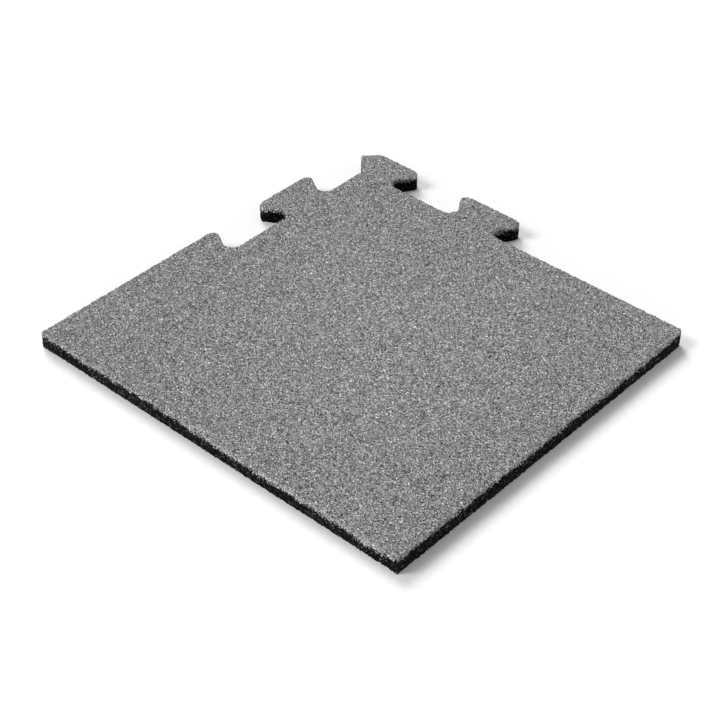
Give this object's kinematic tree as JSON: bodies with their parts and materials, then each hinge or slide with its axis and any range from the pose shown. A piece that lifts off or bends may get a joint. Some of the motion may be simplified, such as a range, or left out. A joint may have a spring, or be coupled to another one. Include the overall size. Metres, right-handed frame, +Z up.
{
  "type": "interlocking rubber gym floor tile",
  "caption": "Square granulate rubber floor tile in two bonded layers, with dovetail tabs and notches along two sides and plain straight edges on the others, for joining into gym flooring.",
  "frame": {"origin": "middle of the square that bounds the outline, on the underside", "axes": "+Z up through the thickness to the walking surface; +X towards the side that ends in the corner tab; +Y towards the other interlocking side"},
  "size_m": [0.5, 0.5, 0.02],
  "materials": {
    "black_granulate": "matt bonded rubber crumb",
    "grey_granulate": "matt bonded rubber granules with a fine light and dark speckle"
  },
  "bodies": {
    "root": {"base_layer": "black_granulate", "top_layer": "grey_granulate"}
  },
  "joints": []
}
